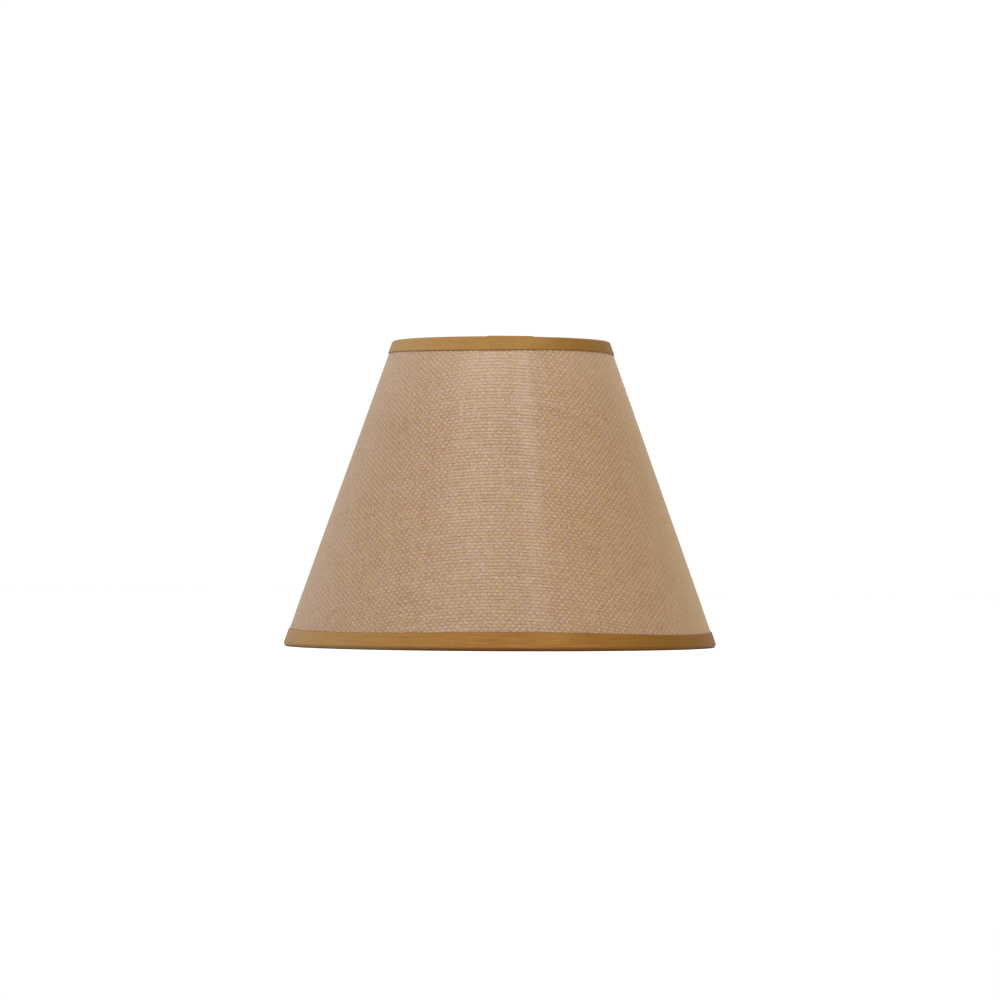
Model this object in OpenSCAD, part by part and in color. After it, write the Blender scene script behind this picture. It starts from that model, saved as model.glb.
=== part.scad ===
// Empire lamp shade with a hard lining and a spider fitter, in millimetres.
//
// A styrene cone carries the woven cloth. A wire ring stiffens each rim, and a folded ribbon
// binds cloth, lining and ring together there. Three arms welded to the top ring hold a
// washer that drops over the threaded stud of a lamp's harp.
//
// +Z runs up the shade's axis, z = 0 is the plane that it stands on, and the front is -Y.

/* [Overall size] */
// Outside diameter over the trim at the foot
foot_d = 305; // [220:1:420]
// Outside diameter over the trim at the top
top_d = 155; // [110:1:190]
// Height from the foot to the top of the upper trim
height = 215.5; // [160:0.5:300]

/* [Wall] */
// Thickness of the woven cloth
cloth_t = 0.6; // [0.4:0.1:1]
// Thickness of the styrene lining
liner_t = 0.4; // [0.3:0.1:0.8]
// Width of the cloth that is turned over the side seam
flap_w = 12; // [8:1:20]
// Thickness of that turned cloth
flap_t = 0.7; // [0.4:0.1:1]
// Gap left between the two ends of the lining at the seam
liner_slit = 0.4; // [0.2:0.1:1]
// Width of the strip that joins the ends of the lining inside
strip_w = 12; // [10:1:25]
// Thickness of that strip
strip_t = 0.4; // [0.2:0.1:0.6]
// Direction of the side seam, counted from +X
seam_angle = 90; // [60:1:120]

/* [Rings] */
// Diameter of the wire of both rings
ring_wire_d = 3; // [2.9:0.1:3.6]

/* [Ribbon trim] */
// Thickness of the folded ribbon
ribbon_t = 0.4; // [0.3:0.05:0.5]
// Width of ribbon showing outside at the foot, from the very edge
foot_trim_w = 13; // [10:0.5:18]
// Width of ribbon showing outside at the top, from the very edge
top_trim_w = 10.5; // [8:0.5:16]
// How far inside the rim the ribbon reaches the lining
tuck = 7; // [6:0.5:9]
// Width of ribbon that is glued flat on the lining beyond that
tuck_flat = 3; // [2:0.5:5]
// Length over which the end of a ribbon covers its start
ribbon_lap = 30; // [15:1:40]
// Where the ribbon at the top ends, counted from +X
top_lap_angle = 262.8; // [220:0.1:320]
// Where the ribbon at the foot ends, counted from +X
foot_lap_angle = 100; // [98:1:160]
// Thickness of the glue between ribbon, cloth, lining and rings
glue_t = 0.05; // [0.03:0.01:0.08]

/* [Spider] */
// Diameter of the wire of the arms
arm_wire_d = 2.7; // [2.2:0.1:2.7]
// Height of the top ring's centre above the washer's upper face
drop = 12.7; // [8:0.1:25]
// Outside diameter of the washer
washer_d = 25.4; // [23:0.2:32]
// Diameter of the hole for the harp's stud
washer_hole_d = 11.1; // [10.2:0.1:12]
// Thickness of the washer
washer_t = 1.8; // [1.4:0.1:2.5]
// How deep the welded arms bite into the washer
weld_bite = 0.5; // [0.3:0.1:0.7]
// Centre-line radius of the bend in each arm
arm_bend_r = 8; // [5:0.5:12]

/* [Hidden] */
$fn = 144;

// Section of the wall. In the wall's own frame x points outward, square to the slope, y runs
// along the slope from the rim, and the ring's centre is at the origin.
ring_r = ring_wire_d / 2;
liner_x = ring_r + glue_t;
cloth_x = liner_x + liner_t;
wall_x = cloth_x + cloth_t;

// The ribbon folds round a core that holds ring, lining and cloth
core_r = (ring_r + wall_x) / 2 + glue_t;
core_x = (wall_x - ring_r) / 2;
rim_r = core_r + ribbon_t;

slope = atan2((foot_d - top_d) / 2, height - 2 * rim_r);
foot_ring_r = foot_d / 2 - rim_r - core_x * cos(slope);
foot_ring_z = rim_r - core_x * sin(slope);
top_ring_r = top_d / 2 - rim_r - core_x * cos(slope);
top_ring_z = height - rim_r - core_x * sin(slope);
wall_len = (top_ring_z - foot_ring_z) / cos(slope);

// Direction, seen from the fold's centre, of the tangent point on the inside
tuck_reach = norm([liner_x - core_x, tuck]);
tangent = atan2(tuck, liner_x - core_x) + acos(core_r / tuck_reach);
arc_steps = 16;

// How far round the fold the second layer of each ribbon shows. At the foot it ends above
// the plane that the shade stands on.
top_lap_sweep = 90;
foot_lap_sweep = 70;

// The turned cloth stops short of both rings, under the ribbons, which rise over it in a
// stretch a little wider than the cloth
flap_inset = 3;
rise_play = 2;
rise_w = flap_w + rise_play;
rise_t = flap_t + glue_t;

// The strip inside the seam stops this far short of the ribbons
strip_gap = 1;

// Arms, and the slots that are snipped in the ribbon for them
arm_r = arm_wire_d / 2;
arm_z = top_ring_z - drop - washer_t + weld_bite - arm_r;
hole_margin = 2;
arm_start = washer_hole_d / 2 + hole_margin;
bend_margin = 1.5;
bend_start = washer_d / 2 + bend_margin;
arm_angles = [30, 150, 270];
bend_swell = 0.04;
bend_overlap = 0.3;
notch_gap = 0.02;
bead_t = 0.5;
bead_r = arm_r + bead_t;
slot_play = 2;
slot_w = 2 * bead_r + slot_play;
slot_depth = 8;
slot_crest_x = -0.3;
slot_leg_y = 1.2;

// The bend's angle follows from the arm aiming at the centre of the ring's wire
reach_r = top_ring_r - bend_start;
reach_z = top_ring_z - arm_z - arm_bend_r;
bend = atan2(reach_z, reach_r) + asin(arm_bend_r / norm([reach_r, reach_z]));
bend_end_r = bend_start + arm_bend_r * sin(bend);
bend_end_z = arm_z + arm_bend_r * (1 - cos(bend));
arm_len = norm([top_ring_r - bend_end_r, top_ring_z - bend_end_z]);

washer_edge = 0.4;

cloth_colour = [0.72, 0.59, 0.46];
liner_colour = [0.93, 0.92, 0.88];
ribbon_colour = [0.63, 0.46, 0.24];
brass_colour = [0.80, 0.65, 0.35];
weld_colour = [0.55, 0.48, 0.34];

function dir(angle) = [cos(angle), sin(angle)];

// ---- frames ----

// Turns a section drawn from the foot's ring, with y up the slope, round the axis
module from_foot(turn = 360, from = 0) {
    rotate_extrude(angle = turn, start = from)
        translate([foot_ring_r, foot_ring_z])
            rotate(slope)
                children();
}

// Turns a section drawn from the top ring, with y down the slope, round the axis
module from_top(turn = 360, from = 0) {
    rotate_extrude(angle = turn, start = from)
        translate([top_ring_r, top_ring_z])
            rotate(slope)
                mirror([0, 1])
                    children();
}

// A slab of width w that runs from the axis outward in one direction
module slab(direction, w) {
    rotate([0, 0, direction])
        translate([0, -w / 2, -1])
            cube([foot_d, w, height + 2]);
}

// ---- sections ----

module wall_section(x, t, from_y, to_y) {
    translate([x, from_y])
        square([t, to_y - from_y]);
}

// Points on an arc round the fold's centre
function arc(r, from, to) =
    [for (i = [0:arc_steps]) [core_x, 0] + r * dir(from + (to - from) * i / arc_steps)];

// A ribbon folded round the rim, w long outside from the ring's centre, where it stands off
// by lift. Inside it leaves the round along the tangent that meets the lining at the tuck,
// and then lies on the lining.
module fold_section(w, lift = 0) {
    away = dir(tangent);
    inner_face = liner_x - ribbon_t;
    bend_y = (rim_r - (inner_face - core_x) * away[0]) / away[1];
    polygon(concat(
        [[core_x + rim_r + lift, w], [core_x + rim_r + lift, flap_inset]],
        arc(rim_r, 0, tangent - 360),
        [[inner_face, bend_y], [inner_face, tuck + tuck_flat]],
        [[liner_x, tuck + tuck_flat], [liner_x, tuck]],
        arc(core_r, tangent - 360, 0),
        [[core_x + core_r + lift, flap_inset], [core_x + core_r + lift, w]]
    ));
}

// A second layer of ribbon over the outside and part of the round, sunk half way into the
// first
module lap_section(w, sweep) {
    outer = rim_r + ribbon_t;
    inner = rim_r - ribbon_t / 2;
    polygon(concat(
        [[core_x + outer, w]],
        arc(outer, 0, -sweep),
        arc(inner, -sweep, 0),
        [[core_x + inner, w]]
    ));
}

// ---- wall ----

module fabric_cover() {
    color(cloth_colour) {
        from_foot()
            wall_section(cloth_x, cloth_t, 0, wall_len);
        intersection() {
            from_foot()
                wall_section(wall_x, flap_t, flap_inset, wall_len - flap_inset);
            slab(seam_angle, flap_w);
        }
    }
}

module styrene_liner() {
    color(liner_colour)
        difference() {
            from_foot()
                wall_section(liner_x, liner_t, 0, wall_len);
            slab(seam_angle, liner_slit);
        }
}

module seam_strip() {
    strip_inset = tuck + tuck_flat + strip_gap;
    color(liner_colour)
        intersection() {
            from_foot()
                wall_section(liner_x - strip_t, strip_t, strip_inset, wall_len - strip_inset);
            slab(seam_angle, strip_w);
        }
}

// ---- frame ----

module top_ring() {
    color(brass_colour)
        from_top()
            circle(ring_r);
}

module bottom_ring() {
    color(brass_colour)
        from_foot()
            circle(ring_r);
}

// One arm along +X: flat under the washer, bent up, then straight to the ring's centre. The
// wire is a little thicker in the bend, and the straight runs go on inside it.
module arm_wire() {
    translate([arm_start, 0, arm_z])
        rotate([0, 90, 0])
            cylinder(r = arm_r, h = bend_start + bend_overlap - arm_start);
    translate([bend_start, 0, arm_z + arm_bend_r])
        rotate([90, 0, 0])
            rotate_extrude(angle = bend, start = -90)
                translate([arm_bend_r, 0])
                    circle(arm_r + bend_swell);
    translate([bend_end_r, 0, bend_end_z])
        rotate([0, 90 - bend, 0])
            translate([0, 0, -bend_overlap])
                cylinder(r = arm_r, h = arm_len + bend_overlap);
}

// The end of the wire is notched to sit against the ring, which is nearly straight there
module spider_arm(index) {
    color(brass_colour)
        rotate([0, 0, arm_angles[index - 1]])
            difference() {
                arm_wire();
                translate([top_ring_r, 0, top_ring_z])
                    rotate([90, 0, 0])
                        cylinder(r = ring_r + notch_gap, h = 4 * arm_r, center = true);
            }
}

module spider_arm_1() {
    spider_arm(1);
}

module spider_arm_2() {
    spider_arm(2);
}

module spider_arm_3() {
    spider_arm(3);
}

// A stamped disc with broken edges. The arms bite into its underside.
module washer_blank() {
    low = top_ring_z - drop - washer_t;
    outer = washer_d / 2;
    hole = washer_hole_d / 2;
    rotate_extrude()
        polygon([
            [hole, low],
            [outer - washer_edge, low],
            [outer, low + washer_edge],
            [outer, low + washer_t - washer_edge],
            [outer - washer_edge, low + washer_t],
            [hole, low + washer_t],
        ]);
}

module fitter_washer() {
    color(brass_colour)
        difference() {
            washer_blank();
            for (a = arm_angles)
                rotate([0, 0, a])
                    arm_wire();
        }
}

// Weld metal round the arm where it meets the ring
module ring_bead() {
    difference() {
        translate([top_ring_r - ring_r * cos(bend), 0, top_ring_z - ring_r * sin(bend)])
            sphere(bead_r);
        arm_wire();
        from_top()
            circle(ring_r);
    }
}

// Weld metal round the arm where it leaves the washer
module hub_bead() {
    difference() {
        translate([washer_d / 2, 0, arm_z])
            sphere(bead_r);
        arm_wire();
        washer_blank();
    }
}

module weld_beads() {
    color(weld_colour)
        for (a = arm_angles)
            rotate([0, 0, a]) {
                ring_bead();
                hub_bead();
            }
}

// ---- trim ----

// The inside of the ribbon is snipped where an arm passes it
module arm_slots() {
    for (a = arm_angles)
        intersection() {
            from_top() {
                translate([-slot_depth, -slot_depth])
                    square([slot_depth + slot_crest_x, 2 * slot_depth + tuck_flat]);
                translate([-slot_depth, slot_leg_y])
                    square([slot_depth + liner_x, tuck + tuck_flat]);
            }
            slab(a, slot_w);
        }
}

// Each ribbon stands off where it rides over the turned cloth
module top_trim() {
    w = top_trim_w - rim_r;
    lap = ribbon_lap / (PI * top_d) * 360;
    rise = rise_w / (PI * top_d) * 360;
    color(ribbon_colour)
        difference() {
            union() {
                from_top(360 - rise, seam_angle + rise / 2)
                    fold_section(w);
                from_top(rise, seam_angle - rise / 2)
                    fold_section(w, rise_t);
                from_top(lap, top_lap_angle)
                    lap_section(w, top_lap_sweep);
            }
            arm_slots();
        }
}

module bottom_trim() {
    w = foot_trim_w - rim_r;
    lap = ribbon_lap / (PI * foot_d) * 360;
    rise = rise_w / (PI * foot_d) * 360;
    color(ribbon_colour) {
        from_foot(360 - rise, seam_angle + rise / 2)
            fold_section(w);
        from_foot(rise, seam_angle - rise / 2)
            fold_section(w, rise_t);
        from_foot(lap, foot_lap_angle)
            lap_section(w, foot_lap_sweep);
    }
}

fabric_cover();
styrene_liner();
seam_strip();
top_ring();
bottom_ring();
spider_arm_1();
spider_arm_2();
spider_arm_3();
fitter_washer();
weld_beads();
top_trim();
bottom_trim();
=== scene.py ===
"""A hardback empire lamp shade: coarse woven cloth on a styrene cone, ribbon trims folded
round two wire rings, and a brass spider fitter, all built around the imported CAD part."""

import math

import bpy
import numpy as np
from mathutils import Matrix, Vector


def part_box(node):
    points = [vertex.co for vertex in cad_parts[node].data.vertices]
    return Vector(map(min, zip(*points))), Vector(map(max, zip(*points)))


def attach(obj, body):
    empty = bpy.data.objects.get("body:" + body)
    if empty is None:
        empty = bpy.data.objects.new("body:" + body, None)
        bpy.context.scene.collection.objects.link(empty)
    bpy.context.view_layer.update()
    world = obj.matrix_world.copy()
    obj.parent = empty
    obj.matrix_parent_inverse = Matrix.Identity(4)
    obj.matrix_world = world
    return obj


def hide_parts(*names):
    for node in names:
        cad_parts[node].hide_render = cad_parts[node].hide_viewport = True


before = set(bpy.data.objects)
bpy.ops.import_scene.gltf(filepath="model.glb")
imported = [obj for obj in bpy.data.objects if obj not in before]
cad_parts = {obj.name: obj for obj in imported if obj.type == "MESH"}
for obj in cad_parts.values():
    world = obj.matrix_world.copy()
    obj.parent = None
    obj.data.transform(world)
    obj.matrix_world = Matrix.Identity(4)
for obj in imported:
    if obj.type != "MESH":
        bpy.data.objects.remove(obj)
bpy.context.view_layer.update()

MM = 0.001
WHOLE_TURN = 2 * math.pi

# ---- what the CAD part's rings say ----

# RING_R is the wire's own radius. TOP_R and FOOT_R reach to the middle of the wire.
top_lo, top_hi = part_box("top_ring")
foot_lo, foot_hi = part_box("bottom_ring")
RING_R = (top_hi.z - top_lo.z) / 2
TOP_R = top_hi.x - RING_R
TOP_Z = (top_hi.z + top_lo.z) / 2
FOOT_R = foot_hi.x - RING_R
FOOT_Z = (foot_hi.z + foot_lo.z) / 2
SLOPE = math.atan2(FOOT_R - TOP_R, TOP_Z - FOOT_Z)
SIN, COS = math.sin(SLOPE), math.cos(SLOPE)
WALL_LEN = math.hypot(FOOT_R - TOP_R, TOP_Z - FOOT_Z)

# ---- layers of the wall, as in the CAD part ----

GLUE = 0.05 * MM
LINER_T = 0.4 * MM
LINER_SLIT = 0.4 * MM
CLOTH_T = 0.6 * MM
TAPE_T = 0.4 * MM
TAPE_W = 12 * MM
RIBBON_T = 0.4 * MM

# Where each layer starts, out from the line between the rings' wires
LINER_X = RING_R + GLUE
CLOTH_X = LINER_X + LINER_T
WALL_X = CLOTH_X + CLOTH_T
CLOTH_MID = CLOTH_X + CLOTH_T / 2

# The round core that a ribbon is folded over: the wire with the wall's edge beside it
CORE_R = (RING_R + WALL_X) / 2 + GLUE
CORE_X = (WALL_X - RING_R) / 2
RIM_R = CORE_R + RIBBON_T

# How far the ribbons show outside, and how far they run in behind the ring
FOOT_TRIM_W = 13 * MM
TOP_TRIM_W = 10.5 * MM
TUCK = 7 * MM
TUCK_FLAT = 3 * MM

# The turned end of the cloth, the laps of the ribbons and the snips round the arms
FLAP_W = 12 * MM
FLAP_T = 0.7 * MM
RIBBON_LAP = 30 * MM
SNIP_W = 5.7 * MM

# Turns are measured from the front, positive to the right as the front is seen. The CAD
# part counts its angles from +X, a quarter turn on.
BACK = math.pi
ARM_TURNS = [math.radians(a + 90) for a in (30, 150, 270)]
TOP_LAP_TURN = math.radians(262.8 - 270)
FOOT_LAP_TURN = math.radians(100 + 90)

# ---- the weave ----

WARP_PITCH = 2.09 * MM
WEFT_PITCH = 2.44 * MM
SKEW = math.tan(math.radians(5))
RELIEF = 0.3 * MM

# How unevenly the yarns lie: a scatter from yarn to yarn, in pitches, and a slow sway
WEFT_SCATTER = 0.05
WARP_SCATTER = 0.06
WEFT_SWAY = 0.22 * MM
WARP_SWAY = 0.2 * MM


def wall_point(x, y, turn):
    """Points of the wall. x is out from the line between the rings' wires, y is up the slope
    from the foot ring's centre."""
    r = FOOT_R + x * COS - y * SIN
    z = FOOT_Z + x * SIN + y * COS
    return np.stack(np.broadcast_arrays(r * np.sin(turn), -r * np.cos(turn), z), axis=-1)


def way_round(place, turn, radius):
    """How far each place is from a turn, measured round a circle."""
    return np.abs((place - turn + math.pi) % WHOLE_TURN - math.pi) * radius


def wander(at, seed, longest):
    """A smooth random wave along at, about -1 to 1, from three waves that get finer."""
    rng = np.random.default_rng(seed)
    total, most = 0.0, 0.0
    for k in range(3):
        share = 0.62**k
        total = total + share * np.sin(2 * np.pi * (at * 1.9**k / longest + rng.random()))
        most += share
    return total / most


def wander_round(turn, seed, waves):
    """The same for a turn, from four waves that close on themselves after a whole turn."""
    rng = np.random.default_rng(seed)
    total, most = 0.0, 0.0
    for k in range(4):
        share = 0.7**k
        total = total + share * np.sin(turn * round(waves * 1.6**k) + 2 * np.pi * rng.random())
        most += share
    return total / most


def smooth(low, high, at):
    """0 below low, 1 above high, and a soft step between."""
    t = np.clip((at - low) / (high - low), 0, 1)
    return t * t * (3 - 2 * t)


def make_object(name, points, faces, vectors=None):
    """A smooth-shaded mesh object from an array of points and a list of faces. vectors are
    its named vertex attributes."""
    mesh = bpy.data.meshes.new(name)
    mesh.from_pydata(points.tolist(), [], faces)
    for key, value in (vectors or {}).items():
        layer = mesh.attributes.new(key, "FLOAT_VECTOR", "POINT")
        layer.data.foreach_set("vector", np.asarray(value, np.float32).ravel())
    mesh.shade_smooth()
    mesh.validate()
    obj = bpy.data.objects.new(name, mesh)
    bpy.context.scene.collection.objects.link(obj)
    return obj


def grid_faces(rows, columns, flip=False):
    """Quads over a grid of points in row order."""
    index = np.arange(rows * columns).reshape(rows, columns)
    a, b = index[:-1, :-1], index[:-1, 1:]
    c, d = index[1:, 1:], index[1:, :-1]
    corners = (a, d, c, b) if flip else (a, b, c, d)
    return np.stack([q.ravel() for q in corners], axis=1)


# ---- cloth ----


def to_flat(y, turn):
    """Where a point of the wall lies on the cut cloth, before it is wrapped round the cone."""
    reach = (FOOT_R + CLOTH_MID * COS - y * SIN) / SIN
    return reach * np.sin(turn * SIN), reach * np.cos(turn * SIN)


def from_flat(across, down):
    """The way back: (y, turn)."""
    reach = np.hypot(across, down)
    turn = np.arctan2(across, down) / SIN
    return (FOOT_R + CLOTH_MID * COS - reach * SIN) / SIN, turn


FLAT_MID = (FOOT_R + TOP_R) / 2 / SIN


def yarn_of(across, down):
    """Yarn coordinates of a point of the cut cloth: whole numbers are the middles of the
    warp and weft yarns."""
    return (across - SKEW * (down - FLAT_MID)) / WARP_PITCH, down / WEFT_PITCH


def yarn_rows(warp, weft):
    """Yarn coordinates as the rows of a vertex attribute."""
    return np.stack([warp.ravel(), weft.ravel(), np.zeros(warp.size)], axis=1)


def weave_relief(warp, weft):
    """How far the cloth's face stands out at a place in the weave, from -1 to 1. Where the
    warp crosses over it lies deep between the broad floats of the weft."""
    gaps = 0.12 * (np.cos(2 * np.pi * weft) + np.cos(2 * np.pi * warp))
    over = np.cos(np.pi * warp) * np.cos(np.pi * weft)
    return gaps - np.where(over > 0, 0.9, 0.35) * over


def lattice_faces(rows, columns):
    """Triangles over a lattice whose odd rows are shifted by half a column."""
    index = np.arange(rows * columns).reshape(rows, columns)
    even, odd, above = index[0:-1:2], index[1::2], index[2::2]
    low = odd[: len(above)]
    triangles = (
        (even[:, :-1], even[:, 1:], odd[:, :-1]),
        (odd[:, :-1], even[:, 1:], odd[:, 1:]),
        (low[:, :-1], above[:, 1:], above[:, :-1]),
        (low[:, :-1], low[:, 1:], above[:, 1:]),
    )
    return np.concatenate([np.stack([c.ravel() for c in t], axis=1) for t in triangles])


def woven_lattice():
    """The main cloth: one point on each crossing and one in each gap, wrapped on the cone."""
    spare = 20 * MM
    widest = to_flat(0, BACK)[0]
    longest = to_flat(0, 0)[1]
    shortest = to_flat(WALL_LEN, BACK)[1]
    columns = int(2 * (widest + spare) / WARP_PITCH)
    first_weft = int(shortest / WEFT_PITCH) - 1
    rows = 2 * (int(longest / WEFT_PITCH) + 2 - first_weft)
    row, column = np.meshgrid(np.arange(rows), np.arange(columns), indexing="ij")
    weft = first_weft + row / 2
    warp = column - columns // 2 + (row % 2) / 2
    rng = np.random.default_rng(7)
    row_shift = rng.normal(0, WEFT_SCATTER, rows)[row]
    column_shift = rng.normal(0, WARP_SCATTER, columns + 1)[column]
    down = (weft + row_shift) * WEFT_PITCH
    down = down + WEFT_SWAY * wander(warp * 0.7 + weft * 3.1, 3, 55)
    across = (warp + column_shift) * WARP_PITCH + SKEW * (down - FLAT_MID)
    across = across + WARP_SWAY * wander(weft * 0.8 + warp * 2.7, 4, 47)
    y, turn = from_flat(across, down)
    thickness = 1 + 0.35 * wander(warp + weft * 9.7, 5, 31)
    height = RELIEF * weave_relief(warp, weft) * thickness
    points = wall_point(CLOTH_MID + height, np.clip(y, 0, WALL_LEN), turn).reshape(-1, 3)

    # Where turn is positive, the turned end takes over before the back. On the other side
    # the cloth runs on beneath it, a little past the back.
    beside = (math.pi - np.abs(turn)) * (FOOT_R - y * SIN)
    side_limit = np.where(turn > 0, FLAP_W / 2 + 0.4 * MM, -0.5 * MM)
    inside = (y > -WEFT_PITCH) & (y < WALL_LEN + WEFT_PITCH) & (beside > side_limit)
    inside &= np.abs(turn) < math.pi * 1.1
    beyond = ((y <= 0) | (y >= WALL_LEN)).ravel()
    faces = lattice_faces(rows, columns)
    faces = faces[inside.ravel()[faces].all(axis=1)]
    faces = faces[~beyond[faces].all(axis=1)]
    used, faces = np.unique(faces, return_inverse=True)
    faces = faces.reshape(-1, 3)[:, ::-1]
    return points[used], faces, yarn_rows(warp, weft)[used]


def turned_end():
    """The end of the cloth, turned under and laid over the other end up the back."""
    edge = FLAP_W / 2
    roll_r = 0.55 * MM
    step = 0.45 * MM
    trimmed = 2 * MM
    steps_up = 420

    # Across: it climbs from the main cloth to lie flat over it, and rolls round at the fold
    flat_part = np.arange(-edge - 3 * MM, edge - roll_r, step)
    fold_rise = 2 * (roll_r - FLAP_T / 2) * smooth(edge - 3.5 * MM, edge - roll_r, flat_part)
    roll = np.radians(np.arange(0, 181, 22.5))
    beside = np.concatenate([flat_part, edge - roll_r + roll_r * np.sin(roll)])
    lift = np.concatenate([FLAP_T + fold_rise, roll_r + roll_r * np.cos(roll)])
    lift = lift * smooth(-edge - 2.4 * MM, -edge + 0.8 * MM, beside) - GLUE
    rolled = np.concatenate([np.zeros(len(flat_part)), roll * roll_r])

    y = np.linspace(trimmed, WALL_LEN - trimmed, steps_up)
    y, beside = np.meshgrid(y, beside, indexing="ij")
    lift = np.broadcast_to(lift, y.shape)
    sway = 0.25 * MM * wander(y, 12, 0.09)
    turn = BACK + (beside + sway) / (FOOT_R - y * SIN)
    warp, weft = yarn_of(*to_flat(y, turn))
    warp = warp + rolled / WARP_PITCH
    ease = 0.08 * MM * wander(y * 1.3 + beside * 4, 13, 0.05)
    height = lift + 0.8 * RELIEF * weave_relief(warp, weft) + ease
    points = wall_point(CLOTH_MID + height, y, turn).reshape(-1, 3)
    return points, grid_faces(*y.shape), yarn_rows(warp, weft)


def build_cloth():
    """Lattice and turned end as one piece of cloth."""
    points, faces, yarn = woven_lattice()
    end_points, end_quads, end_yarn = turned_end()
    end_quads = end_quads + len(points)
    return make_object(
        "woven_cloth",
        np.concatenate([points, end_points]),
        faces.tolist() + end_quads.tolist(),
        {"yarn": np.concatenate([yarn, end_yarn])},
    )


# ---- lining ----


def shell(name, x, thick, low, high, start, end, columns):
    """A closed curved plate from x outwards and from low to high up the slope. start and end
    give the turns of its sides at each y."""
    rows = 3
    y = np.linspace(low, high, rows)[:, None]
    share = np.linspace(0, 1, columns)[None, :]
    turn = start(y) + (end(y) - start(y)) * share
    y = np.broadcast_to(y, turn.shape)
    inner = wall_point(x, y, turn).reshape(-1, 3)
    outer = wall_point(x + thick, y, turn).reshape(-1, 3)
    n = len(inner)
    face_in = grid_faces(rows, columns, flip=True)
    face_out = grid_faces(rows, columns) + n
    index = np.arange(n).reshape(rows, columns)
    rim = np.concatenate([index[0], index[1:, -1], index[-1, -2::-1], index[-2:0:-1, 0]])
    after = np.roll(rim, -1)
    sides = np.stack([rim, after, after + n, rim + n], axis=1)
    faces = np.concatenate([face_in, face_out, sides]).tolist()
    obj = make_object(name, np.concatenate([inner, outer]), faces)
    obj.data.set_sharp_from_angle(angle=math.radians(40))
    return obj


def build_liner():
    """The styrene cone, open at the back by a narrow slit."""

    def start(y):
        return -BACK + LINER_SLIT / 2 / (FOOT_R - y * SIN)

    return shell(
        "styrene_lining", LINER_X, LINER_T, 0, WALL_LEN, start, lambda y: -start(y), 361
    )


def build_tape():
    """The strip that bridges the slit inside, from one ribbon's edge to the other's."""
    inset = TUCK + TUCK_FLAT + 1 * MM

    def start(y):
        return BACK - TAPE_W / 2 / (FOOT_R - y * SIN)

    return shell(
        "seam_tape",
        LINER_X - TAPE_T,
        TAPE_T,
        inset,
        WALL_LEN - inset,
        start,
        lambda y: 2 * BACK - start(y),
        17,
    )


# ---- ribbons ----

# Steps across a ribbon: along the outside, round the core and over to the lining
LEG_STEPS = 12
CORE_STEPS = 22
TUCK_STEPS = 5


def fold_path(leg):
    """The middle line of a ribbon folded round a rim, from the outer edge inward, as x and
    y from the ring's centre with y towards the wall. leg is how far it reaches up the
    outside, one value for each place round the rim."""
    mid_r = CORE_R + RIBBON_T / 2
    inner_x = LINER_X - RIBBON_T / 2
    reach = math.hypot(inner_x - CORE_X, TUCK)
    tangent = math.atan2(TUCK, inner_x - CORE_X) + math.acos(mid_r / reach)
    leg = np.asarray(leg)[:, None]
    ones = np.ones_like(leg)
    up_leg = np.linspace(1, 0, LEG_STEPS + 1)[:-1]
    arc = np.linspace(0, tangent - WHOLE_TURN, CORE_STEPS)
    arc_x, arc_y = CORE_X + mid_r * np.cos(arc), mid_r * np.sin(arc)
    inward = np.linspace(0, 1, TUCK_STEPS + 1)[1:]
    on_liner = TUCK_FLAT * np.array([0.4, 0.7, 1.0])
    x = (
        ones * (CORE_X + mid_r) * np.ones(LEG_STEPS),
        ones * arc_x,
        ones * (arc_x[-1] + (inner_x - arc_x[-1]) * inward),
        ones * inner_x * np.ones(len(on_liner)),
    )
    y = (
        leg * up_leg,
        ones * arc_y,
        ones * (arc_y[-1] + (TUCK - arc_y[-1]) * inward),
        ones * (TUCK + on_liner),
    )
    return np.concatenate(x, axis=1), np.concatenate(y, axis=1)


def ribbon_turns(rim_radius, lap, lap_turn, columns, snips):
    """Turns along a ribbon from one end to the other, with one at each side of a snip."""
    turn = np.linspace(0, WHOLE_TURN + lap, columns)
    edges = [
        (t + side * SNIP_W / 2 / rim_radius - lap_turn) % WHOLE_TURN
        for t in snips
        for side in (-1, 1)
    ]
    return np.unique(np.concatenate([turn, edges]))


def ribbon_lift(x, y, turn, place, lap, at_foot, seed):
    """How far a ribbon stands off its folded path: where it laps itself, where it crosses
    the cloth's turned end, and in small puckers."""
    rim_radius = FOOT_R if at_foot else TOP_R
    outside = x > CORE_X
    leg_share = smooth(-RIM_R, 1 * MM, y) * outside

    # The lap is pressed flat outside, most of all at the cut end
    on_top = 1 - smooth(lap + 0.01, lap + 4 * MM / rim_radius, turn)
    pressed = 1.08 - 0.36 * smooth(0, 5 * MM / rim_radius, turn)
    lift = (RIBBON_T + 0.03 * MM) * on_top[:, None] * (1 - pressed[:, None] * leg_share)

    from_seam = way_round(place, BACK, rim_radius)
    over_flap = 1 - smooth(FLAP_W / 2 - 0.2 * MM, FLAP_W / 2 + 2.2 * MM, from_seam)
    lift = lift + (FLAP_T + GLUE) * over_flap[:, None] * smooth(0, 3 * MM, y) * outside

    up_leg = np.clip(y / (FOOT_TRIM_W - RIM_R), 0, 1)
    puckers = wander_round(place, seed, 23)[:, None] * np.sin(up_leg * np.pi)
    waves = wander_round(place, seed + 1, 41)[:, None]
    lift = lift + 0.07 * MM * puckers * leg_share
    lift = lift + 0.05 * MM * waves * leg_share

    if at_foot:
        # Under the rim the shade's weight squeezes the lap shut, so that it stands level
        round_fold = np.degrees(np.arctan2(y, x - CORE_X))
        lift = np.where(y < 0, lift * smooth(-100, -60, round_fold), lift)
        squeezed = 0.03 * MM * (turn > math.pi)[:, None]
        lift = np.where((y < 0) & (round_fold < -60), lift - squeezed, lift)
    return lift


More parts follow.
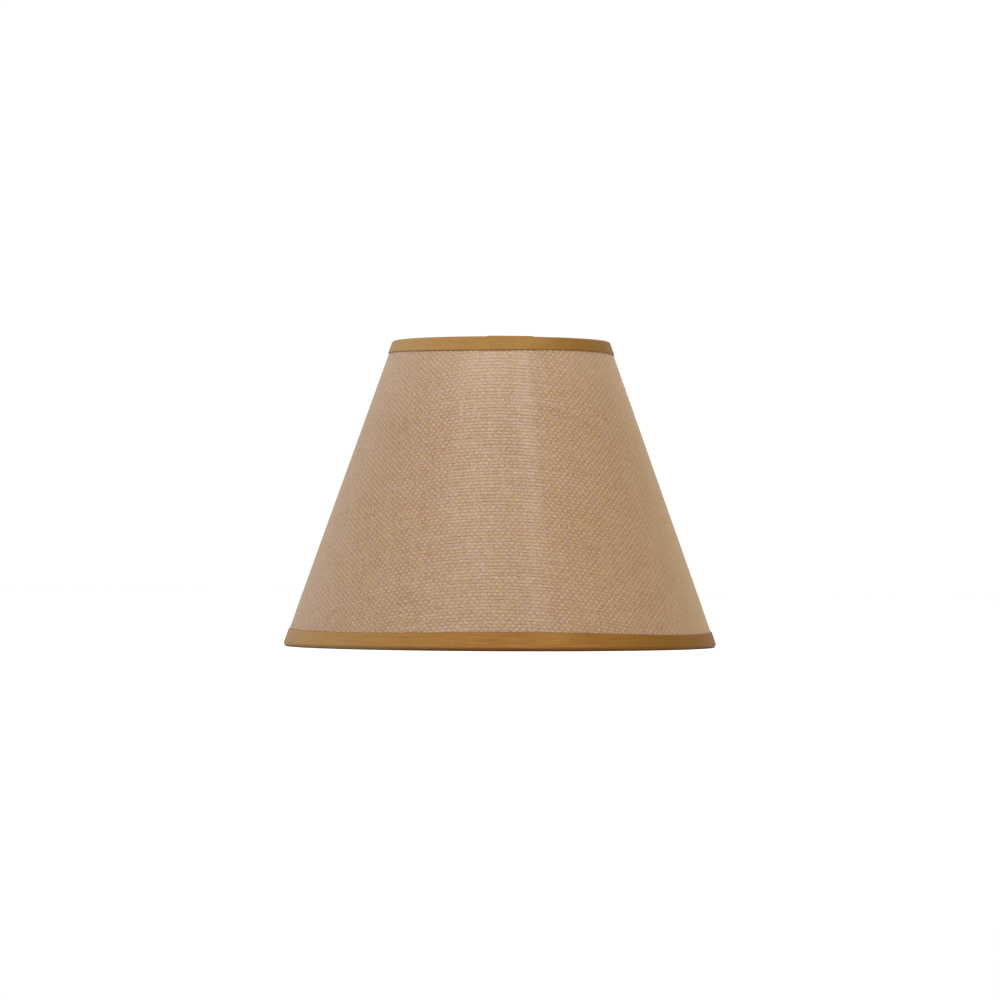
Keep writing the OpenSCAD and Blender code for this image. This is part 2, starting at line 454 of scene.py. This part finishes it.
def outside_snips(x, y, place, rim_radius, snips):
    """Which quads of a ribbon stay when its inner part is cut out round the arms."""
    inside_wire = x[:, :-1] < -0.3 * MM
    behind_wall = (y[:, :-1] > 1.2 * MM) & (x[:, :-1] < LINER_X)
    inner = inside_wire | behind_wall
    centre = (place[:-1] + place[1:]) / 2
    cut = np.zeros(len(centre), bool)
    for turn in snips:
        cut |= way_round(centre, turn, rim_radius) < SNIP_W / 2
    return ~(cut[:, None] & inner[:-1]).ravel()


def build_ribbon(name, at_foot, leg_of, lap_turn, seed, columns, snips=()):
    """A ribbon folded round a rim, one end laid over the other. leg_of gives how far it
    reaches up the outside at each turn."""
    rim_radius = FOOT_R if at_foot else TOP_R
    lap = RIBBON_LAP / (rim_radius + RIM_R)
    turn = ribbon_turns(rim_radius, lap, lap_turn, columns, snips)
    place = turn + lap_turn
    x, y = fold_path(leg_of(place))
    step_x, step_y = np.gradient(x, axis=1), np.gradient(y, axis=1)
    length = np.hypot(step_x, step_y)
    lift = ribbon_lift(x, y, turn, place, lap, at_foot, seed)
    x, y = x - step_y / length * lift, y + step_x / length * lift
    edge_bent_in = 0.4 * MM
    x[:, 0] -= edge_bent_in
    points = wall_point(x, y if at_foot else WALL_LEN - y, place[:, None])

    along = turn[:, None] * (rim_radius + RIM_R) * np.ones_like(x)
    from_edge = np.cumsum(length, axis=1) - length[:, :1]
    across = from_edge - from_edge[:, LEG_STEPS : LEG_STEPS + 1]
    coords = np.stack([along.ravel(), across.ravel(), from_edge.ravel()], axis=1)
    faces = grid_faces(*x.shape, flip=at_foot)
    faces = faces[outside_snips(x, y, place, rim_radius, snips)]
    obj = make_object(name, points.reshape(-1, 3), faces.tolist(), {"ribbon": coords})

    # A little thinner than in the CAD part, so that it clears what it lies on
    thick = obj.modifiers.new("thickness", "SOLIDIFY")
    thick.thickness = RIBBON_T * 0.96
    thick.offset = 0
    thick.use_even_offset = True
    return obj


def top_leg(turn):
    """The top's ribbon wanders up and down as it was glued."""
    sway = 0.1 + 0.55 * np.cos(3 * turn + math.radians(51))
    return TOP_TRIM_W - RIM_R + sway * MM


def foot_leg(turn):
    """The foot's ribbon wanders up and down as it was glued."""
    sway = 0.6 * np.sin(turn - math.radians(10)) + 0.45 * np.cos(4 * turn + math.radians(132))
    return FOOT_TRIM_W - RIM_R - (1.4 + sway - 0.75 * np.cos(3 * turn)) * MM


# ---- materials ----


def srgb(red, green, blue):
    """A colour given as it shows on a screen, 0 to 255, as a linear one."""
    values = [c / 255 for c in (red, green, blue)]
    return tuple(
        c / 12.92 if c <= 0.04045 else ((c + 0.055) / 1.055) ** 2.4 for c in values
    ) + (1.0,)


PINK_YARN = srgb(156, 127, 121)
YELLOW_YARN = srgb(150, 131, 85)
GOLDEN_YARN = srgb(140, 112, 75)
# Tints that paint light and shade on the cloth: shade on the right side, light on the left side,
# and a highlight near the top.
RIGHT_SHADE_TINT = srgb(146, 120, 74)
LEFT_LIGHT_TINT = srgb(144, 124, 106)
TOP_HIGHLIGHT_TINT = srgb(170, 147, 130)
GAP_SHADE = srgb(112, 79, 50)
WARM_SHEEN = srgb(255, 232, 204)

RIBBON_DARK = srgb(112, 71, 26)
RIBBON_LIGHT = srgb(137, 99, 46)
RIBBON_RIB = srgb(102, 64, 16)
RIBBON_STAIN = srgb(142, 104, 54)
# Painted light on the ribbons: shade on the fold, a paler sheen on the left, deeper shade on the
# right.
RIBBON_FOLD_SHADE = srgb(70, 38, 16)
RIBBON_SHEEN_TINT = srgb(143, 119, 80)
RIBBON_RIGHT_SHADE = srgb(104, 68, 18)
RIBBON_EDGE = srgb(112, 66, 42)


class Graph:
    """A material's nodes, added one call at a time. Each call takes sockets or plain values
    and returns the new node's output."""

    def __init__(self, name):
        self.material = bpy.data.materials.new(name)
        self.material.use_nodes = True
        self.tree = self.material.node_tree
        self.shader = self.tree.nodes["Principled BSDF"]

    def node(self, kind, inputs=(), **settings):
        """Any node. This call returns the node itself."""
        made = self.tree.nodes.new(kind)
        for key, value in settings.items():
            setattr(made, key, value)
        for key, value in dict(inputs).items():
            self.feed(made.inputs[key], value)
        return made

    def feed(self, socket, value):
        """Link another socket to this one, or set it to a value."""
        if isinstance(value, bpy.types.NodeSocket):
            self.tree.links.new(value, socket)
        else:
            socket.default_value = value

    def math(self, operation, *values):
        return self.node("ShaderNodeMath", dict(enumerate(values)), operation=operation).outputs[0]

    def split(self, vector):
        """The three parts of a vector."""
        return tuple(self.node("ShaderNodeSeparateXYZ", {0: vector}).outputs)

    def attribute(self, name):
        """The three parts of a vertex attribute."""
        return self.split(self.node("ShaderNodeAttribute", attribute_name=name).outputs["Vector"])

    def vector(self, x, y, z=0.0):
        return self.node("ShaderNodeCombineXYZ", {0: x, 1: y, 2: z}).outputs[0]

    def stretched(self, u, u_scale, v, v_scale, layer):
        """A place for a noise, fine along u and v by their scales. Each layer is its own."""
        u_part = self.math("MULTIPLY", u, u_scale)
        return self.vector(u_part, self.math("MULTIPLY", v, v_scale), layer)

    def place(self):
        return self.node("ShaderNodeTexCoord").outputs["Object"]

    def noise(self, vector, scale, detail=2.0, roughness=0.5):
        made = self.node(
            "ShaderNodeTexNoise",
            {"Vector": vector, "Scale": scale, "Detail": detail, "Roughness": roughness},
        )
        return made.outputs["Fac"]

    def span(self, value, low, high, to_low=0.0, to_high=1.0, kind="LINEAR"):
        """low to high becomes to_low to to_high, and it stays there beyond them."""
        made = self.node(
            "ShaderNodeMapRange",
            {0: value, 1: low, 2: high, 3: to_low, 4: to_high},
            interpolation_type=kind,
        )
        return made.outputs[0]

    def mix(self, share, one, two):
        """Colour one, going over to two as share rises to 1."""
        made = self.node("ShaderNodeMix", data_type="RGBA")
        self.feed(made.inputs["Factor"], share)
        self.feed(made.inputs[6], one)
        self.feed(made.inputs[7], two)
        return made.outputs[2]

    def bump(self, height, distance, strength, under=None):
        """A normal. under is the normal that it adds to."""
        inputs = {"Height": height, "Distance": distance, "Strength": strength}
        if under is not None:
            inputs["Normal"] = under
        return self.node("ShaderNodeBump", inputs).outputs["Normal"]

    def finish(self, **inputs):
        """Feed the shader and hand over the material."""
        for key, value in inputs.items():
            self.feed(self.shader.inputs[key.replace("_", " ")], value)
        return self.material


def yarn_heights(g, warp, weft):
    """The roundness of the weft yarns, how sunk the warp is where it crosses over, and the
    height of the face that they make."""
    cos_warp = g.math("COSINE", g.math("MULTIPLY", warp, math.pi))
    cos_weft = g.math("COSINE", g.math("MULTIPLY", weft, math.pi))
    round_warp = g.math("POWER", g.math("ABSOLUTE", cos_warp), 0.8)
    round_weft = g.math("POWER", g.math("ABSOLUTE", cos_weft), 0.8)
    sunk = g.span(g.math("MULTIPLY", cos_warp, cos_weft), 0.1, 1.0)
    height = g.math("MULTIPLY_ADD", round_weft, 0.34, g.math("MULTIPLY", round_warp, 0.09))
    return round_weft, sunk, g.math("MULTIPLY_ADD", sunk, -0.43, height)


def yarn_tones(g, warp, weft):
    """Noises along the yarns: the hue of the weft, the fibres, and a list of every noise
    that makes a yarn darker or lighter, with its share."""
    warp_index = g.math("FLOOR", g.math("ADD", warp, 0.5))
    weft_index = g.math("FLOOR", g.math("ADD", weft, 0.5))
    hue = g.noise(g.stretched(warp, 0.45, weft_index, 7.3, 5.0), 1.0, 3.0, 0.7)
    warp_tone = g.noise(g.stretched(warp_index, 5.3, weft, 0.1, 3.0), 1.0, 2.0)
    weft_tone = g.noise(g.stretched(warp, 0.1, weft_index, 6.1, 8.0), 1.0, 3.0, 0.6)
    slub = g.noise(g.stretched(warp, 1.4, weft, 2.2, 6.0), 1.0, 2.0)
    fibre = g.noise(g.stretched(warp, 3.0, weft, 9.0, 1.0), 2.0, 3.0, 0.6)
    stitch = g.node("ShaderNodeTexWhiteNoise", {"Vector": g.vector(warp_index, weft_index)})
    tones = (
        (fibre, 0.22),
        (slub, 1.3),
        (stitch.outputs["Value"], 0.14),
        (weft_tone, 0.34),
        (warp_tone, 0.28),
    )
    return hue, fibre, tones


def tint_cloth_and_paint_light(g, colour):
    """Cloth that turns golden in random patches, with painted light besides: painted shade makes
    it more golden and yellow towards the right, painted light makes it greyer on the left, and a
    painted highlight makes it paler near the top."""
    patches = g.noise(g.place(), 9.0, 3.0, 0.6)
    x, y, z = g.split(g.place())
    radius = g.math("SQRT", g.math("MULTIPLY_ADD", x, x, g.math("MULTIPLY", y, y)))
    side = g.math("DIVIDE", x, radius)
    colour = g.mix(g.span(patches, 0.35, 0.65, 0.0, 0.12), colour, GOLDEN_YARN)
    # Painted shade on the right side: the cloth turns more golden and yellow towards it.
    colour = g.mix(g.span(side, 0.1, 1.0, 0.0, 0.35), colour, GOLDEN_YARN)
    colour = g.mix(g.span(side, 0.75, 1.0, 0.0, 0.35), colour, RIGHT_SHADE_TINT)
    # Painted light: the cloth turns greyer towards the left side.
    colour = g.mix(g.span(side, -1.0, 0.0, 0.3, 0.0), colour, LEFT_LIGHT_TINT)
    # Painted highlight: the cloth turns paler near the top.
    return g.mix(g.span(z, 0.15, 0.2, 0.0, 0.13), colour, TOP_HIGHLIGHT_TINT)


def cloth_material():
    """Plain weave: pale weft, pinkish or yellowish from place to place, over golden warp,
    with darker lines between the weft rows. A gloss on the sunk warp fills it with light
    where the cloth faces the eye, so the rows show most there."""
    g = Graph("woven_cloth")
    warp, weft, _ = g.attribute("yarn")
    round_weft, sunk, height = yarn_heights(g, warp, weft)
    hue, fibre, tones = yarn_tones(g, warp, weft)

    pale = g.mix(g.span(hue, 0.36, 0.64), PINK_YARN, YELLOW_YARN)
    pale = g.mix(g.span(sunk, 0.0, 0.7, 0.1, 0.7), pale, GOLDEN_YARN)
    shade = height
    for tone, share in tones:
        shade = g.math("MULTIPLY_ADD", g.math("SUBTRACT", tone, 0.5), share, shade)
    colour = g.mix(g.span(shade, -0.1, 0.54), GAP_SHADE, pale)

    row_gloss = g.span(round_weft, 0.25, 0.95, 0.35, 1.1)
    gloss = g.math("MULTIPLY", g.span(sunk, 0.0, 0.9, 0.28, 1.0), row_gloss)
    facing = g.node("ShaderNodeLayerWeight", {"Blend": 0.5}).outputs["Facing"]
    gloss = g.math("MULTIPLY", gloss, g.span(facing, 0.06, 0.34, 1.0, 0.1))
    normal = g.bump(height, 0.25 * MM, 0.5)
    return g.finish(
        Base_Color=tint_cloth_and_paint_light(g, colour),
        Roughness=g.span(fibre, 0.2, 0.8, 0.55, 0.75),
        Normal=g.bump(fibre, 0.08 * MM, 0.5, normal),
        Specular_IOR_Level=0.2,
        Sheen_Weight=0.1,
        Sheen_Roughness=0.4,
        Sheen_Tint=WARM_SHEEN,
        Coat_Weight=gloss,
        Coat_Roughness=0.3,
    )


def ribbon_material(name, rim_radius, painted_shade, pale_share):
    """Golden brown ribbon with fine ribs along it. Painted sheen makes it paler on the left and
    painted shade makes it deeper on the right. The last two arguments give how much painted shade
    darkens its fold and right side, and how pale the whole ribbon is before painted sheen makes
    the left paler still."""
    g = Graph(name)
    along, across, from_edge = g.attribute("ribbon")
    streak = g.noise(g.stretched(along, 40.0, across, 1100.0, 0.0), 1.0, 3.0, 0.6)
    cross = g.noise(g.stretched(along, 1500.0, across, 130.0, 4.0), 1.0, 2.0, 0.6)
    stain = g.noise(g.stretched(along, 30.0, across, 1.0, 2.0), 1.0, 3.0)
    colour = g.mix(g.span(streak, 0.3, 0.7), RIBBON_DARK, RIBBON_LIGHT)
    colour = g.mix(g.span(cross, 0.35, 0.7, 0.0, 0.35), colour, RIBBON_RIB)
    colour = g.mix(g.span(stain, 0.4, 0.7, 0.0, 0.25), colour, RIBBON_STAIN)

    # Painted shade on the part that rounds the rim and runs inside, set by the first of the last
    # two arguments: dark under the foot's rim, none at the top.
    fold_from = g.span(across, 0.3 * MM, 1.6 * MM)
    fold_to = g.span(across, 6.0 * MM, 8.0 * MM, 1.0, 0.0)
    fold = g.math("MULTIPLY", g.math("MULTIPLY", fold_from, fold_to), painted_shade)
    side = g.math("DIVIDE", g.split(g.place())[0], rim_radius)
    # Painted sheen: paler towards the left, on top of a paler tone that covers the whole ribbon.
    pale = g.span(side, -1.0, -0.1, pale_share + 0.4, pale_share, "SMOOTHSTEP")
    # Painted shade: deeper towards the right side, more so at the foot.
    right_shade = g.span(side, 0.2, 0.8, 0.0, 0.65 + 0.25 * painted_shade, "SMOOTHSTEP")
    colour = g.mix(fold, colour, RIBBON_FOLD_SHADE)
    colour = g.mix(pale, colour, RIBBON_SHEEN_TINT)
    colour = g.mix(right_shade, colour, RIBBON_RIGHT_SHADE)
    # Darker along the ribbon's cut edge: partly the edge's own colour, partly painted shade where
    # the ribbon meets the cloth.
    colour = g.mix(g.span(from_edge, 0.0, 0.9 * MM, 0.55, 0.0), colour, RIBBON_EDGE)

    rib_pitch = 0.8 * MM
    rib = g.math("SINE", g.math("MULTIPLY", across, 2 * math.pi / rib_pitch))
    normal = g.bump(rib, 0.03 * MM, 0.6)
    return g.finish(
        Base_Color=colour,
        Roughness=g.span(streak, 0.3, 0.7, 0.42, 0.58),
        Normal=g.bump(cross, 0.05 * MM, 0.5, normal),
        Specular_IOR_Level=0.05,
    )


def styrene_material():
    """White styrene sheet with a faint orange-peel face and handling marks."""
    g = Graph("styrene_sheet")
    marks = g.noise(g.place(), 22.0, 4.0, 0.6)
    grain = g.noise(g.place(), 900.0, 2.0)
    colour = g.mix(g.span(marks, 0.35, 0.7), srgb(240, 236, 226), srgb(235, 230, 218))
    return g.finish(
        Base_Color=colour,
        Roughness=g.span(marks, 0.3, 0.7, 0.38, 0.55),
        Normal=g.bump(grain, 0.02 * MM, 0.5),
        Subsurface_Weight=0.15,
        Subsurface_Scale=1 * MM,
    )


def metal_material(name, light, dark, rough, grain_scale, grain_depth):
    """Plated wire or weld metal: grain, and tarnish in patches."""
    g = Graph(name)
    tarnish = g.noise(g.place(), 120.0, 5.0, 0.65)
    grain = g.noise(g.place(), grain_scale, 3.0, 0.7)
    return g.finish(
        Base_Color=g.mix(g.span(tarnish, 0.35, 0.68), light, dark),
        Metallic=1.0,
        Roughness=g.span(tarnish, 0.3, 0.7, rough, rough + 0.18),
        Normal=g.bump(grain, grain_depth, 0.5),
    )


def floor_material():
    """Plain pale matt ground."""
    g = Graph("pale_floor")
    grain = g.noise(g.place(), 60.0, 3.0)
    colour = g.mix(grain, (0.93, 0.93, 0.93, 1), (0.95, 0.95, 0.95, 1))
    return g.finish(Base_Color=colour, Roughness=0.9)


# ---- the pieces ----

cloth = build_cloth()
cloth.data.materials.append(cloth_material())
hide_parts("fabric_cover")

liner = build_liner()
tape = build_tape()
styrene = styrene_material()
for piece, node in ((liner, "styrene_liner"), (tape, "seam_strip")):
    piece.data.materials.append(styrene)
    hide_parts(node)

top_cloth = ribbon_material("top_ribbon_cloth", TOP_R, painted_shade=0.0, pale_share=0.2)
foot_cloth = ribbon_material("foot_ribbon_cloth", FOOT_R, painted_shade=0.75, pale_share=0.04)
top_ribbon = build_ribbon(
    "top_ribbon", False, top_leg, TOP_LAP_TURN, seed=31, columns=721, snips=ARM_TURNS
)
foot_ribbon = build_ribbon("foot_ribbon", True, foot_leg, FOOT_LAP_TURN, seed=37, columns=1081)
for piece, node, material in (
    (top_ribbon, "top_trim", top_cloth),
    (foot_ribbon, "bottom_trim", foot_cloth),
):
    piece.data.materials.append(material)
    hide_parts(node)

for piece in (cloth, liner, tape, top_ribbon, foot_ribbon):
    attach(piece, "root")

brass = metal_material(
    "brass_wire",
    srgb(226, 196, 128),
    srgb(186, 148, 84),
    rough=0.24,
    grain_scale=700.0,
    grain_depth=0.03 * MM,
)
weld = metal_material(
    "weld_metal",
    srgb(170, 150, 112),
    srgb(116, 96, 70),
    rough=0.42,
    grain_scale=1100.0,
    grain_depth=0.15 * MM,
)
arms = [f"spider_arm_{number}" for number in (1, 2, 3)]
for name in ("top_ring", "bottom_ring", "fitter_washer", *arms):
    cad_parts[name].data.materials[0] = brass
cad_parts["weld_beads"].data.materials[0] = weld

# ---- stage ----

# How far the floor reaches to each side
REACH = 4.0
floor = make_object(
    "floor",
    np.array([(-REACH, -REACH, 0), (REACH, -REACH, 0), (REACH, REACH, 0), (-REACH, REACH, 0)]),
    [(0, 1, 2, 3)],
)
floor.data.materials.append(floor_material())

world = bpy.data.worlds.new("studio")
bpy.context.scene.world = world
world.use_nodes = True
background = world.node_tree.nodes["Background"]
background.inputs["Color"].default_value = (1, 1, 1, 1)
background.inputs["Strength"].default_value = 1.05
bpy.context.scene.view_settings.view_transform = "Standard"

LIGHT_TARGET = Vector((0, 0, 0.1))


def area_light(name, azimuth, elevation, distance, size, power):
    """A soft light that faces the middle of the shade. Azimuth 0 is the front, positive to
    the right. size is its width and height."""
    data = bpy.data.lights.new(name, "AREA")
    data.shape = "RECTANGLE"
    data.size, data.size_y = size
    data.energy = power
    lamp = bpy.data.objects.new(name, data)
    bpy.context.scene.collection.objects.link(lamp)
    a, e = math.radians(azimuth), math.radians(elevation)
    way = Vector((math.sin(a) * math.cos(e), -math.cos(a) * math.cos(e), math.sin(e)))
    lamp.location = LIGHT_TARGET + way * distance
    lamp.rotation_euler = (-way).to_track_quat("-Z", "Y").to_euler()


area_light("key", azimuth=-20, elevation=50, distance=1.3, size=(0.9, 0.9), power=9.8)
area_light("rim", azimuth=-130, elevation=15, distance=1.6, size=(0.3, 1.0), power=1.8)
area_light("streak", azimuth=23, elevation=44, distance=1.6, size=(0.08, 0.7), power=5)
area_light("back", azimuth=165, elevation=40, distance=1.6, size=(0.9, 0.9), power=7)

# ---- camera ----

CAMERA = Vector((0, -3.014, 0.0682))
TARGET = Vector((-0.0003, 0, 0.1034))
ROLL = math.radians(0.25)

camera_data = bpy.data.cameras.new("camera")
camera_data.lens = 153.5
camera = bpy.data.objects.new("camera", camera_data)
bpy.context.scene.collection.objects.link(camera)
camera.location = CAMERA
aim = (TARGET - CAMERA).to_track_quat("-Z", "Y").to_matrix().to_4x4()
camera.rotation_euler = (aim @ Matrix.Rotation(ROLL, 4, "Z")).to_euler()
bpy.context.scene.camera = camera
